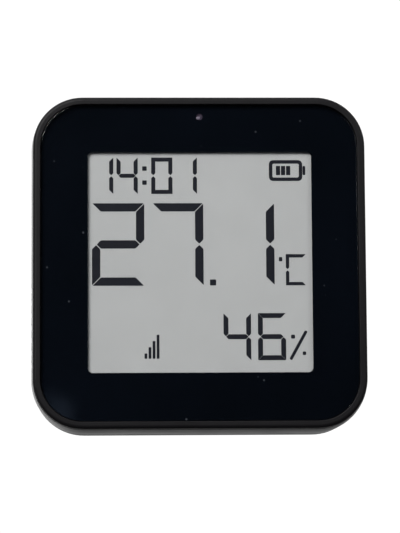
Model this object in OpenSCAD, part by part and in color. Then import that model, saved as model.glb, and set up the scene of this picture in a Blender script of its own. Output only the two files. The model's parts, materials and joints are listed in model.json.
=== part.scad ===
// Square wall or desk sensor for temperature and humidity, with an e-paper display and four AA cells.
// The front faces -Y, +Z is up, and the origin is the middle of the base.
// Depths are counted from the front of the bezel towards the back.

/* [Shell] */
// Thickness of the side walls
wall = 1.8; // [1.5:0.1:2.2]
// Thickness of the cover's rear wall
cover_t = 1.8; // [1.4:0.1:2.4]
// Corner radius of the body, seen from the front
corner_r = 10.8; // [9:0.1:12]
// Rounding of the cover's rear edge
rear_round = 4.5; // [2.5:0.1:5.5]
// Rounding of the thin rims of the housing and the cover
rim_round = 0.3; // [0.1:0.05:0.5]
// Depth at which the housing has swelled to its full width
flare_d = 8; // [7:0.5:10]
// Depth of the cover's straight rim, which carries the body on a desk together with the housing
cover_straight = 3; // [2.5:0.1:3.5]
// How far the cover draws in behind that rim
cover_draft = 0.2; // [0.1:0.05:0.3]
// Depth of the joint line between the housing and the cover
parting_d = 15.6; // [14.6:0.1:17]
// Width of the joint line between the housing and the cover
parting_gap = 0.3; // [0.15:0.05:0.5]
// Gap between pieces that are seated on each other
seat_gap = 0.05; // [0.02:0.01:0.1]

/* [Bezel] */
// How far the bezel stands in from the housing's outline
bezel_inset = 0.5; // [0.3:0.05:0.6]
// Width of the bezel's front lip
bezel_lip = 1.55; // [1.2:0.05:1.9]
// Depth of the bezel's outer side face
bezel_side = 2.0; // [1.8:0.1:2.4]
// Width of the groove between the bezel and the housing
bezel_groove = 0.45; // [0.15:0.05:0.6]
// Rounding of the lip's outer edge
bezel_round = 0.8; // [0.3:0.05:0.95]
// Rounding of the lip's inner edge
bezel_inner_round = 0.15; // [0.05:0.05:0.3]
// Width of the ledge that carries the lens
ledge_w = 2.4; // [2.2:0.1:2.6]
// Thickness of the ledge
ledge_t = 1.0; // [0.8:0.1:1.1]
// Thickness of the skirt that locates the bezel in the housing
skirt_t = 1.0; // [0.8:0.1:1.2]
// Depth at which the skirt ends
skirt_end = 4.0; // [3:0.1:4]
// Clearance between the skirt and the housing
skirt_gap = 0.15; // [0.1:0.05:0.3]

/* [Front panel] */
// Thickness of the clear lens
lens_t = 1.1; // [0.8:0.1:1.5]
// Gap round the lens
lens_gap = 0.15; // [0.1:0.05:0.4]
// How far the lens lies below the lip
lens_recess = 0.1; // [0.05:0.05:0.4]
// Rounding of the lens's front edge
lens_round = 0.2; // [0.1:0.05:0.4]
// Thickness of the black print
mask_t = 0.1; // [0.05:0.01:0.2]
// Thickness of the adhesive ring
tape_t = 0.2; // [0.1:0.05:0.3]
// Width of the adhesive ring
tape_w = 1.8; // [1.2:0.1:2]
// Distance from the lens's opening to the adhesive ring
tape_inset = 0.5; // [0.3:0.05:0.6]

/* [Display] */
// Width of the dark border at the left and the right of the display window
side_border = 11.75; // [11.2:0.05:14]
// Height of the dark border above and below the display window
end_border = 12; // [11.6:0.05:14]
// Corner radius of the display window
window_r = 1.0; // [0.3:0.1:3]
// Offset of the display to the right of the middle
window_x = 0.1; // [-0.3:0.1:0.3]
// Offset of the window above the middle of the front
window_y = 0.1; // [-0.3:0.1:0.3]
// Air gap between the print and the display
view_gap = 0.6; // [0.3:0.05:0.8]
// Thickness of the e-paper film
film_t = 0.4; // [0.2:0.05:0.6]
// Border of the film that the print hides
film_border = 1.3; // [1:0.1:1.5]
// Thickness of the backplane
backplane_t = 0.6; // [0.4:0.1:0.9]
// Border of the backplane beyond the film
backplane_border = 0.75; // [0.4:0.05:0.9]
// Length of the backplane's bonding tail below the film
tail_len = 3.0; // [2.4:0.1:3.2]
// Width of the ribbon
flex_w = 20; // [12:0.5:24]
// Thickness of the ribbon
flex_t = 0.15; // [0.1:0.01:0.2]
// Radius of the ribbon's bends
flex_bend = 1.0; // [0.8:0.05:1.1]
// Clearance between the display and its carrier
pocket_gap = 0.3; // [0.2:0.05:0.4]
// Thickness of the carrier's walls round the display
pocket_wall = 0.8; // [0.6:0.1:0.9]
// Thickness of the carrier's floor behind the display
carrier_floor = 0.7; // [0.6:0.1:1]
// Gap behind the display
display_gap = 0.1; // [0.05:0.05:0.2]

/* [Board] */
// Thickness of the main board
board_t = 0.8; // [0.6:0.1:1.2]
// Clearance between the board and the housing
board_gap = 0.6; // [0.5:0.1:1]
// Height of the carrier's standoffs behind its floor
standoff_h = 0.5; // [0.5:0.1:1]
// Room for components between the board and the tray
part_room = 3.6; // [3.5:0.1:5]
// Radius of the carrier's screw bosses
standoff_r = 1.7; // [1.4:0.1:1.8]
// Height of the board screws above and below the middle
standoff_y = 22; // [20.5:0.1:23]
// Width of the slots milled round the sensor's tongue
tongue_slot = 1.0; // [0.6:0.1:1.5]
// Side of the sensor chip
sensor_w = 2.5; // [2:0.1:3]
// Height of the sensor chip
sensor_h = 0.9; // [0.7:0.1:1.2]
// Diameter of the status light's window
led_d = 1.4; // [1:0.1:1.8]
// Distance of the status light below the top of the front
led_drop = 4.5; // [4.2:0.1:5]

/* [Parts on the board] */
// Width of the wireless module
radio_w = 18; // [15:0.5:19]
// Height of the wireless module
radio_h = 25.5; // [20:0.5:26]
// Thickness of the wireless module's board
radio_t = 0.8; // [0.6:0.1:1]
// Distance of the wireless module to the left of the middle
radio_x = 12.5; // [11:0.5:13]
// Height of the wireless module above the middle
radio_y = 15; // [13:0.5:15]
// Width of the wireless module's can
shield_w = 15.8; // [12:0.1:16]
// Height of the wireless module's can
shield_h = 17.6; // [14:0.1:18]
// Thickness of the wireless module's can
shield_t = 2.2; // [1.6:0.1:2.4]
// Sheet thickness of the can
shield_sheet = 0.2; // [0.1:0.05:0.3]
// Thickness of the ribbon socket
socket_t = 1.4; // [1.3:0.1:2]
// Length of the ribbon socket
socket_len = 4; // [3:0.1:5]
// Distance from the ribbon's bend to its socket
socket_gap = 1.6; // [1:0.1:2]
// Width of the socket beyond the ribbon
socket_side = 1.2; // [0.8:0.1:2]
// Width of the side switch
switch_w = 6; // [5:0.1:7]
// Length of the side switch
switch_len = 3.6; // [3:0.1:4.5]
// Depth of the switch's well
switch_well = 1.8; // [1.6:0.1:2.4]
// Width of the switch's plunger
plunger_w = 2.2; // [1.8:0.1:2.6]
// Thickness of the switch's plunger
plunger_t = 1.4; // [1.2:0.1:1.8]
// How far the plunger stands out of the switch
plunger_out = 1.7; // [1:0.1:2]

/* [Ports and vents] */
// Height of the power socket above the middle of the front
usb_y = -13; // [-15:0.5:-10]
// Width of the socket's shell
usb_w = 8.94; // [8.8:0.02:9.2]
// Thickness of the socket's shell, outside
usb_h = 3.16; // [3:0.02:3.3]
// Length of the socket's shell
usb_len = 7.35; // [6.5:0.05:8]
// Sheet thickness of the socket's shell
usb_sheet = 0.3; // [0.2:0.05:0.35]
// Length of the socket's moulded base
usb_base = 1.4; // [1:0.1:2]
// Width of the socket's tongue
usb_tongue_w = 6.7; // [6.2:0.05:6.9]
// Thickness of the socket's tongue
usb_tongue_t = 0.7; // [0.6:0.05:0.8]
// How far the tongue lies inside the socket's mouth
usb_tongue_in = 0.6; // [0.4:0.1:1]
// Clearance round the socket in the wall
usb_gap = 0.2; // [0.1:0.05:0.4]
// Width of the plug's recess round the socket
usb_recess = 1.3; // [0.8:0.1:1.6]
// Depth of the plug's recess
usb_recess_t = 0.8; // [0.4:0.1:1]
// Height of the button above the middle of the front
button_y = 3; // [1:0.5:6]
// Length of the button
button_len = 8; // [6:0.5:9]
// Width of the button
button_w = 2.8; // [2.4:0.1:2.9]
// Clearance round the button
button_gap = 0.2; // [0.1:0.05:0.3]
// Thickness of the button's flange
button_flange = 0.8; // [0.6:0.1:1]
// Width of the button's flange at each end
button_flange_w = 1.2; // [0.8:0.1:1.5]
// Length of the button's stem
button_stem = 0.8; // [0.7:0.1:1.2]
// How far the button lies below the wall's face
button_recess = 0.3; // [0.2:0.05:0.4]
// Travel of the button
button_travel = 0.5; // [0.3:0.05:0.6]
// Number of vent slots
vent_count = 7; // [4:1:9]
// Distance between vent slots
vent_pitch = 2.6; // [2.2:0.1:3]
// Width of a vent slot
vent_w = 1.3; // [0.8:0.1:1.6]
// Length of a vent slot
vent_len = 4.6; // [3:0.1:4.8]
// Height of the vents and the sensor above the middle of the front
vent_y = -13; // [-15:0.5:-10]

/* [Cells and contacts] */
// Diameter of one cell
cell_dia = 14.3; // [13.7:0.1:14.5]
// Length of one cell with its nub
cell_len = 50.3; // [49.2:0.1:50.5]
// Radius of the cell's nub
nub_r = 2.65; // [2.2:0.05:2.75]
// Height of the cell's nub
nub_h = 1.2; // [1:0.1:1.5]
// Gap between the two middle cells
mid_gap = 0.4; // [0.3:0.1:1]
// Gap between a middle cell and an outer one
rib_gap = 1.9; // [1.6:0.1:3]
// Gap under the cells
cell_floor_gap = 0.1; // [0.05:0.05:0.3]
// Gap between the cells and the cover
cell_cover_gap = 0.4; // [0.2:0.1:1]
// Gap between an outer cell and the tray's side wall
cell_side_gap = 0.3; // [0.2:0.05:0.5]
// Thickness of the contact sheet
contact_t = 0.3; // [0.2:0.05:0.4]
// Width of a contact at one cell
contact_w = 9.5; // [8.5:0.1:10]
// Height of a contact
contact_h = 10; // [8.8:0.1:10.5]
// Corner radius of a contact
contact_r = 1.5; // [0.5:0.1:2.5]
// Height of the dimple that meets a nub
dimple_h = 0.4; // [0.3:0.05:0.6]
// Radius of the dimple
dimple_r = 2.2; // [1.6:0.1:2.5]
// Gap between a contact and what it presses on
touch_gap = 0.1; // [0.05:0.05:0.15]
// Room for the pressed spring at a cell's flat end
spring_room = 3.4; // [3.3:0.1:4.5]
// Diameter of the spring's wire
spring_wire = 0.6; // [0.5:0.05:0.65]
// Turns of the spring
spring_turns = 2.75; // [2:0.25:2.75]
// Radius of the spring's base turn
spring_base_r = 3.9; // [3.6:0.1:4.2]
// Radius of the spring's tip
spring_tip_r = 2.1; // [1.8:0.1:2.2]
// Width of the tab that joins a contact to the board
tab_w = 2.8; // [2:0.1:3]

/* [Battery tray] */
// Thickness of the tray's floor
tray_floor = 0.8; // [0.6:0.1:1.2]
// Thickness of the tray's side walls
tray_side = 1.0; // [0.8:0.1:1.4]
// Height of the tray's side walls
tray_side_h = 7.6; // [6:0.1:9]
// Thickness of the tray's end walls
tray_end = 1.15; // [0.9:0.05:1.5]
// Height of the tray's end walls
tray_end_h = 12.6; // [12.4:0.1:13.2]
// Thickness of the ribs between the cells
rib_t = 1.1; // [0.8:0.1:1.2]
// Height of the ribs between the cells
rib_h = 4.6; // [3:0.1:6]
// Width of the posts that hold the contacts
post_w = 0.8; // [0.6:0.1:1]
// Clearance beside a contact
post_gap = 0.15; // [0.1:0.05:0.25]
// Radius of the finger scoops in the side walls
scoop_r = 12; // [10:0.5:14]
// Depth of the finger scoops
scoop_t = 3.4; // [2:0.1:4.5]

/* [Fasteners] */
// Diameter of the bezel's screw bosses
boss_d = 3.8; // [3.4:0.1:4.2]
// Clearance on both sides of a boss
boss_gap = 0.4; // [0.3:0.05:0.6]
// Distance of the bosses from the middle
boss_x = 20; // [18.5:0.1:20.5]
// Thickness of the housing's screw pads
pad_t = 1.1; // [0.8:0.1:1.4]
// Radius of a tray screw's thread
tray_screw_r = 0.75; // [0.7:0.05:0.85]
// Radius of a board screw's thread
board_screw_r = 0.55; // [0.5:0.05:0.6]
// Clearance of a thread in its pilot hole
pilot_gap = 0.05; // [0.03:0.01:0.08]
// Clearance of a thread in a through hole
through_gap = 0.35; // [0.25:0.05:0.4]

/* [Back cover] */
// Thickness of the lip inside the housing
lip_t = 0.8; // [0.7:0.05:1]
// Length of the lip
lip_len = 1.5; // [1:0.1:1.8]
// Clearance between the lip and the housing
lip_gap = 0.15; // [0.1:0.05:0.2]
// Clearance between the lip and the tray
lip_tray_gap = 0.25; // [0.2:0.05:0.4]
// Distance of the snap tongues from the middle
tongue_x = 19; // [16:0.5:20]
// Width of a snap tongue
tongue_w = 8; // [6:0.5:9]
// Length of a snap tongue beyond the lip
tongue_len = 1.9; // [1.6:0.1:2.2]
// Height of the bead on a snap tongue
bead_h = 0.3; // [0.2:0.05:0.35]
// Width of the bead on a snap tongue
bead_w = 0.8; // [0.6:0.1:1]
// Clearance round the bead in its groove
bead_gap = 0.15; // [0.1:0.05:0.2]
// Radius of a keyhole's entry
key_r = 3.6; // [3:0.1:3.8]
// Radius of a keyhole's slot
key_slot_r = 1.7; // [1.4:0.1:2]
// Height of the keyhole's entry above the middle
key_y = 8; // [0:0.5:10]
// Distance from a keyhole's entry to the end of its slot
key_len = 7; // [5.5:0.5:9]
// Width of the pry notch
notch_w = 9; // [6:0.5:12]
// Depth of the pry notch
notch_t = 1.2; // [0.8:0.1:1.4]
// Thickness of the stiffening rib
stiff_t = 1.2; // [0.8:0.1:1.6]
// Height of the stiffening rib
stiff_h = 1.8; // [1:0.1:2]

/* [Hidden] */
$fn = 64;
// Overrun of cuts
cut = 1;
// Sides and rings of a turn of spring wire
wire_sides = 6;
wire_rings = 8;

// Body, sized round the cells and what holds them
cells_w = 4 * cell_dia + 2 * rib_gap + mid_gap;
lip_space = lip_gap + lip_t + lip_tray_gap;
body_w = cells_w + 2 * (cell_side_gap + tray_side + lip_space + wall);
contact_span = cell_len + dimple_h + touch_gap + spring_room;
boss_space = boss_d + 2 * boss_gap;
body_h = contact_span + 2 * (contact_t + seat_gap + tray_end + boss_space + wall);

// Depths from the front
lens_front = lens_recess;
lens_back = lens_front + lens_t;
mask_back = lens_back + mask_t;
ledge_front = mask_back + tape_t;
ledge_back = ledge_front + ledge_t;
film_front = mask_back + view_gap;
film_back = film_front + film_t;
backplane_back = film_back + backplane_t;
carrier_front = backplane_back + display_gap;
carrier_back = carrier_front + carrier_floor;
flange_front = min(ledge_back + 2 * seat_gap, carrier_front);
board_front = carrier_back + standoff_h;
board_back = board_front + board_t;
tray_front = board_back + part_room;
tray_back = tray_front + tray_floor;
cell_axis = tray_back + cell_floor_gap + cell_dia / 2;
cover_inside = cell_axis + cell_dia / 2 + cell_cover_gap;
body_d = cover_inside + cover_t;
rim_front = bezel_side + bezel_groove;
cover_front = parting_d + parting_gap;
port_d = board_back + usb_h / 2;
pad_back = tray_front - seat_gap;
pad_front = pad_back - pad_t;
boss_back = pad_front - seat_gap;

// Insets from the outline of the body
opening_in = bezel_inset + bezel_lip;
rim_in = 0.9 * bezel_inset;
flare_r = (pow(flare_d - rim_front, 2) + pow(rim_in, 2)) / (2 * rim_in);
ledge_in = opening_in + ledge_w;
skirt_in = wall + skirt_gap;
carrier_in = skirt_in + skirt_t + 5 * seat_gap;
board_in = wall + board_gap;
lip_in = wall + lip_gap;
tray_in = wall + lip_space;
inside_x = body_w / 2 - wall;
inside_y = body_h / 2 - wall;

// Display
window_w = body_w - 2 * side_border;
window_h = body_h - 2 * end_border;
film_w = window_w + 2 * film_border;
film_h = window_h + 2 * film_border;
backplane_w = film_w + 2 * backplane_border;
backplane_top = film_h / 2 + backplane_border;
backplane_low = -film_h / 2 - tail_len;
pocket_low = backplane_low - pocket_gap - pocket_wall;
flex_turn_y = backplane_low - pocket_gap - pocket_wall;
flex_run_y = flex_turn_y - flex_bend;
flex_slot_h = 14 * seat_gap;
flex_front_d = film_back - flex_t / 2;
flex_back_d = board_back + flex_bend - 2 * flex_t;
flex_start_y = -film_h / 2 - pocket_gap;
socket_low = flex_turn_y + socket_gap;
flex_end_y = socket_low + socket_len / 2;
standoff_x = backplane_w / 2 + pocket_gap + pocket_wall / 2 + standoff_r;

// Button and switch, from the wall inwards
button_flange_x = inside_x - seat_gap - button_flange;
plunger_tip = button_flange_x - button_stem;
switch_front = plunger_tip - plunger_out;
usb_mouth = inside_x - 4 * seat_gap;

// Fasteners
boss_y = inside_y - boss_gap - boss_d / 2;
boss_hole_r = boss_d / 2 + boss_gap * 0.6;
led_y = body_h / 2 - led_drop;
led_hole_r = led_d / 2 + 0.4;
pipe_r = led_d / 2 + 0.1;

// Cells, in columns from left to right
cell_r = cell_dia / 2;
inner_x = mid_gap / 2 + cell_r;
outer_x = inner_x + cell_dia + rib_gap;
rib_x = (inner_x + outer_x) / 2;
columns = [-outer_x, -inner_x, inner_x, outer_x];
contact_y = contact_span / 2;
tray_wall_y = contact_y + contact_t + seat_gap;
side_wall_y = body_h / 2 - corner_r;
tab_x = outer_x + contact_w / 2 - tab_w / 2 - contact_r;
spring_h = spring_room - 2 * touch_gap;

// Spring wire
spring_steps = ceil(spring_turns * wire_rings);
function wire_angle(i) = 360 * spring_turns * i / spring_steps;
function wire_radius(i) = spring_base_r + (spring_tip_r - spring_base_r) * i / spring_steps;
function wire_height(i) = spring_wire / 2 + (spring_h - spring_wire) * i / spring_steps;
function wire_point(i) =
    [wire_radius(i) * cos(wire_angle(i)), wire_radius(i) * sin(wire_angle(i)), wire_height(i)];
function wire_ring(i) = [
    for (k = [0 : wire_sides - 1])
        let (b = 360 * k / wire_sides, a = wire_angle(i))
            wire_point(i) + spring_wire / 2 * [cos(b) * cos(a), cos(b) * sin(a), sin(b)]
];
spring_gap = min([
    for (i = [0 : spring_steps - wire_rings + 2])
        for (j = [i + wire_rings - 2 : spring_steps])
            norm(wire_point(i) - wire_point(j)) - spring_wire
]);
echo(spring_gap = spring_gap, body = [body_w, body_d, body_h]);

// Places its children in the front view: X right, Y up from the middle, depth along -Z
module face_frame() {
    translate([0, -body_d / 2, body_h / 2])
        rotate([90, 0, 0])
            children();
}

// Extrudes an outline of the front view from one depth to another
module slab(front, back) {
    translate([0, 0, -back])
        linear_extrude(back - front)
            children();
}

// Extrudes an outline in (height, -depth) from one X to another
module along_x(low, high) {
    translate([low, 0, 0])
        rotate([90, 0, 90])
            linear_extrude(high - low)
                children();
}

// Extrudes an outline in (X, -depth) from one height to another
module along_y(low, high) {
    translate([0, high, 0])
        rotate([90, 0, 0])
            linear_extrude(high - low)
                children();
}

module rounded_rect(w, h, r) {
    square([w, h - 2 * r], center = true);
    square([w - 2 * r, h], center = true);
    for (sx = [-1, 1], sy = [-1, 1])
        translate([sx * (w / 2 - r), sy * (h / 2 - r)])
            circle(r);
}

// Outline of the body, drawn in by an inset
module body_outline(inset) {
    rounded_rect(body_w - 2 * inset, body_h - 2 * inset, corner_r - inset);
}

module pill(length, width) {
    square([length - width, width], center = true);
    for (side = [-1, 1])
        translate([side * (length - width) / 2, 0])
            circle(width / 2);
}

// What rounding takes off a corner at the origin, with the material to its lower left
module corner_cut(r) {
    difference() {
        translate([-r, -r])
            square(r + cut);
        translate([-r, -r])
            circle(r);
    }
}

// Sweeps a profile round a rounded rectangle, with X outward from it and Y along -depth
module sweep_round(w, h, r) {
    turns = [[1, 1, 0], [-1, 1, 90], [-1, -1, 180], [1, -1, 270]];
    for (t = turns)
        translate([t[0] * (w / 2 - r), t[1] * (h / 2 - r), 0])
            rotate([0, 0, t[2]])
                rotate_extrude(angle = 90)
                    translate([r, 0])
                        children();
    for (side = [0, 1, 2, 3]) {
        half = side % 2 == 0 ? w / 2 : h / 2;
        run = (side % 2 == 0 ? h : w) - 2 * r;
        rotate([0, 0, 90 * side])
            translate([half, run / 2, 0])
                rotate([90, 0, 0])
                    linear_extrude(run)
                        children();
    }
}

module sweep_body() {
    sweep_round(body_w, body_h, corner_r)
        children();
}

// Repeats its children at the four screw bosses
module at_bosses() {
    for (sx = [-1, 1], sy = [-1, 1])
        translate([sx * boss_x, sy * boss_y, 0])
            children();
}

// Repeats its children at the four board screws
module at_standoffs() {
    for (sx = [-1, 1], sy = [-1, 1])
        translate([window_x + sx * standoff_x, sy * standoff_y, 0])
            children();
}

// Repeats its children at the four snap tongues, with Y towards the wall
module at_tongues() {
    for (sx = [-1, 1], flip = [0, 1])
        mirror([0, flip, 0])
            translate([sx * tongue_x, 0, 0])
                children();
}

module display_window() {
    translate([window_x, window_y])
        rounded_rect(window_w, window_h, window_r);
}

// Screw along the depth with its head at the back: a domed head with a cross recess
module pan_screw(head_depth, thread_r, thread_len) {
    head_r = 2.3 * thread_r;
    head_h = 1.5 * thread_r;
    translate([0, 0, -head_depth])
        difference() {
            rotate_extrude() {
                square([thread_r, thread_len]);
                intersection() {
                    translate([0, -head_h])
                        square([head_r, head_h]);
                    translate([0, head_r])
                        circle(head_r + head_h);
                }
            }
            for (turn = [0, 90])
                rotate([0, 0, turn])
                    translate([-head_r / 2, -head_h / 6, -head_h - cut])
                        cube([head_r, head_h / 3, head_h / 2 + cut]);
        }
}

// Side walls with rounded rims, screw pads, ports, vents and grooves for the snap tongues
module housing() {
    pad_w = boss_d + 4 * boss_gap;
    pad_len = boss_d + boss_gap;
    color([0.17, 0.17, 0.18])
        face_frame()
            difference() {
                union() {
                    sweep_body()
                        housing_profile();
                    for (sx = [-1, 1], flip = [0, 1])
                        mirror([0, flip, 0])
                            slab(pad_front, pad_back)
                                translate([sx * boss_x - pad_w / 2, inside_y - pad_len])
                                    square([pad_w, pad_len + wall / 2]);
                }
                at_bosses()
                    slab(pad_front - cut, pad_back + cut)
                        circle(tray_screw_r + through_gap);
                along_x(inside_x - cut, body_w / 2 + cut)
                    translate([usb_y, -port_d])
                        pill(usb_w + 2 * usb_gap, usb_h + 2 * usb_gap);
                along_x(body_w / 2 - usb_recess_t, body_w / 2 + cut)
                    translate([usb_y, -port_d])
                        pill(usb_w + 2 * usb_recess, usb_h + 2 * usb_recess);
                along_x(inside_x - cut, body_w / 2 + cut)
                    translate([button_y, -port_d])
                        pill(button_len + 2 * button_gap, button_w + 2 * button_gap);
                for (i = [0 : vent_count - 1])
                    along_x(-body_w / 2 - cut, -inside_x + cut)
                        translate([vent_y + vent_pitch * (i - (vent_count - 1) / 2), -port_d])
                            rotate(90)
                                pill(vent_len, vent_w);
                at_tongues()
                    bead_groove();
            }
}

// Section of the housing's wall: it swells from the front rim to its full width
module housing_profile() {
    edge = rim_round / 2 + cut;
    difference() {
        translate([-wall, -parting_d])
            square([wall, parting_d - rim_front]);
        difference() {
            translate([-wall, -flare_d])
                square([wall + cut, flare_d]);
            translate([-flare_r, -flare_d])
                circle(flare_r, $fn = 720);
        }
        translate([-rim_in, -rim_front])
            polygon([[-edge, cut], [cut, cut], [cut, -edge]]);
        translate([0, -parting_d])
            mirror([0, 1, 0])
                corner_cut(rim_round);
    }
}

// Groove in the housing's wall round the bead of a snap tongue
module bead_groove() {
    groove_w = tongue_w + 2 * bead_gap;
    bead_end = cover_front - lip_len - tongue_len + bead_w;
    slab(bead_end - bead_w - bead_gap, bead_end + bead_gap)
        translate([-groove_w / 2, inside_y - cut])
            square([groove_w, cut + bead_h + bead_gap - lip_gap]);
}

// Frame round the lens, with a ledge under it, a skirt inside the housing and four screw bosses
module front_bezel() {
    color([0.13, 0.13, 0.14])
        face_frame()
            difference() {
                union() {
                    sweep_body()
                        bezel_profile();
                    at_bosses()
                        slab(ledge_front, boss_back)
                            circle(boss_d / 2);
                }
                at_bosses()
                    slab(ledge_back + seat_gap, boss_back + cut)
                        circle(tray_screw_r + pilot_gap);
                slab(ledge_front - cut, skirt_end + cut)
                    translate([window_x, led_y])
                        circle(led_hole_r);
            }
}

module bezel_profile() {
    difference() {
        polygon([
            [-bezel_inset, 0],
            [-bezel_inset, -bezel_side],
            [-skirt_in, -bezel_side],
            [-skirt_in, -skirt_end],
            [-skirt_in - skirt_t, -skirt_end],
            [-skirt_in - skirt_t, -ledge_back],
            [-ledge_in, -ledge_back],
            [-ledge_in, -ledge_front],
            [-opening_in, -ledge_front],
            [-opening_in, 0]
        ]);
        translate([-bezel_inset, 0])
            corner_cut(bezel_round);
        translate([-opening_in, 0])
            mirror([1, 0, 0])
                corner_cut(bezel_inner_round);
    }
}

// Clear front panel with a softened front edge
module front_lens() {
    lens_in = opening_in + lens_gap;
    color([0.75, 0.8, 0.85, 0.35])
        face_frame()
            difference() {
                slab(lens_front, lens_back)
                    body_outline(lens_in);
                sweep_round(body_w - 2 * lens_in, body_h - 2 * lens_in, corner_r - lens_in)
                    translate([0, -lens_front])
                        corner_cut(lens_round);
            }
}

// Black print behind the lens, open at the display and at the status light
module lens_mask() {
    color([0.03, 0.04, 0.06])
        face_frame()
            slab(lens_back, mask_back)
                difference() {
                    body_outline(opening_in + lens_gap);
                    display_window();
                    translate([window_x, led_y])
                        circle(led_d / 2);
                }
}

// Adhesive ring between the print and the bezel's ledge
module lens_tape() {
    color([0.2, 0.2, 0.2])
        face_frame()
            slab(mask_back, ledge_front)
                difference() {
                    body_outline(opening_in + tape_inset);
                    body_outline(opening_in + tape_inset + tape_w);
                    translate([window_x, led_y])
                        circle(led_hole_r);
                }
}

module display_film() {
    color([0.7, 0.71, 0.7])
        face_frame()
            slab(film_front, film_back)
                translate([window_x, 0])
                    square([film_w, film_h], center = true);
}

module backplane_outline(gap) {
    translate([window_x - backplane_w / 2 - gap, backplane_low - gap])
        square([backplane_w + 2 * gap, backplane_top - backplane_low + 2 * gap]);
}

module display_backplane() {
    color([0.55, 0.6, 0.6])
        face_frame()
            slab(film_back, backplane_back)
                backplane_outline(0);
}

// Moulded frame: a pocket for the display, bosses for the board and notches for the bezel's bosses
module display_carrier() {
    color([0.85, 0.85, 0.83])
        face_frame()
            difference() {
                union() {
                    slab(flange_front, carrier_back)
                        body_outline(carrier_in);
                    slab(film_front, carrier_back)
                        backplane_outline(pocket_gap + pocket_wall);
                    at_standoffs()
                        slab(film_front, board_front)
                            circle(standoff_r);
                }
                slab(film_front - cut, carrier_front)
                    backplane_outline(pocket_gap);
                at_standoffs()
                    slab(film_back, board_front + cut)
                        circle(board_screw_r + pilot_gap);
                at_bosses()
                    slab(film_front - cut, carrier_back + cut)
                        circle(boss_hole_r);
                flex_passage(film_front - cut, carrier_back + cut);
                slab(film_front - cut, film_back + seat_gap)
                    translate([window_x - flex_w / 2 - pocket_gap, flex_run_y])
                        square([flex_w + 2 * pocket_gap, backplane_low - flex_run_y]);
                slab(film_front - cut, carrier_back + cut)
                    translate([window_x, led_y]) {
                        circle(led_hole_r);
                        translate([-led_hole_r, 0])
                            square([2 * led_hole_r, body_h / 2]);
                    }
            }
}

// Slot through which the ribbon turns to the back
module flex_passage(front, back) {
    slab(front, back)
        translate([window_x - flex_w / 2 - pocket_gap, flex_run_y - flex_slot_h])
            square([flex_w + 2 * pocket_gap, 2 * flex_slot_h]);
}

// Ribbon from the display's tail, round two bends, to the socket behind the board
module display_flex() {
    color([0.72, 0.45, 0.15])
        face_frame()
            along_x(window_x - flex_w / 2, window_x + flex_w / 2) {
                flex_run(flex_turn_y, flex_start_y, flex_front_d);
                flex_corner(flex_front_d + flex_bend, 1);
                translate([flex_run_y - flex_t / 2, -flex_back_d + flex_bend])
                    square([flex_t, flex_back_d - flex_front_d - 2 * flex_bend]);
                flex_corner(flex_back_d - flex_bend, 0);
                flex_run(flex_turn_y, flex_end_y, flex_back_d);
            }
}

module flex_run(low, high, depth) {
    translate([low, -depth - flex_t / 2])
        square([high - low, flex_t]);
}

// Quarter bend of the ribbon about its turning height
module flex_corner(depth, front) {
    radius = flex_bend + flex_t / 2;
    translate([flex_turn_y, -depth])
        intersection() {
            difference() {
                circle(radius);
                circle(flex_bend - flex_t / 2);
            }
            translate([-radius, front ? 0 : -radius])
                square(radius);
        }
}

// Ribbon socket on the board, open below
module flex_connector() {
    socket_w = flex_w + 2 * socket_side;
    color([0.9, 0.88, 0.82])
        face_frame()
            difference() {
                along_x(window_x - socket_w / 2, window_x + socket_w / 2)
                    translate([socket_low, -board_back - socket_t])
                        square([socket_len, socket_t]);
                along_x(window_x - flex_w / 2 - seat_gap, window_x + flex_w / 2 + seat_gap)
                    translate([socket_low - cut, -flex_back_d - flex_t / 2 - seat_gap])
                        square([cut + flex_end_y - socket_low + seat_gap, flex_t + 2 * seat_gap]);
            }
}

// Circuit board with notches for the bosses, screw holes, the ribbon's slot and the sensor's tongue
module main_board() {
    color([0.08, 0.3, 0.16])
        face_frame()
            difference() {
                slab(board_front, board_back)
                    difference() {
                        body_outline(board_in);
                        at_bosses()
                            circle(boss_hole_r);
                        at_standoffs()
                            circle(board_screw_r + through_gap);
                        tongue_slots();
                    }
                flex_passage(board_front - cut, board_back + cut);
            }
}

// Milled slots that keep the board's warmth from the sensor
module tongue_slots() {
    reach = 3 * sensor_w;
    edge = -body_w / 2 + board_in;
    for (side = [-1, 1])
        translate([edge + reach / 2, vent_y + side * 1.6 * sensor_w])
            square([reach - tongue_slot, tongue_slot], center = true);
    translate([edge + reach - tongue_slot, vent_y])
        square([tongue_slot, 1.6 * sensor_w], center = true);
}

// Sensor chip with its small opening
module humidity_sensor() {
    chip_x = -body_w / 2 + board_in + sensor_w;
    color([0.12, 0.12, 0.12])
        face_frame()
            translate([chip_x, vent_y, 0])
                difference() {
                    slab(board_back, board_back + sensor_h)
                        square(sensor_w, center = true);
                    slab(board_back + sensor_h / 2, board_back + sensor_h + cut)
                        circle(sensor_w / 5);
                }
}

// Small board of the wireless module, with its aerial end at the top
module radio_module() {
    color([0.05, 0.05, 0.06])
        face_frame()
            slab(board_back, board_back + radio_t)
                translate([-radio_x, radio_y])
                    square([radio_w, radio_h], center = true);
}

// Sheet can over the wireless module
module radio_shield() {
    front = board_back + radio_t;
    low = radio_y - radio_h / 2 + shield_h / 2 + (radio_w - shield_w) / 2;
    color([0.75, 0.75, 0.76])
        face_frame()
            translate([-radio_x, low, 0])
                difference() {
                    slab(front, front + shield_t)
                        rounded_rect(shield_w, shield_h, 1);
                    slab(front - cut, front + shield_t - shield_sheet)
                        rounded_rect(shield_w - 2 * shield_sheet, shield_h - 2 * shield_sheet, 1 - shield_sheet);
                }
}

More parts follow.
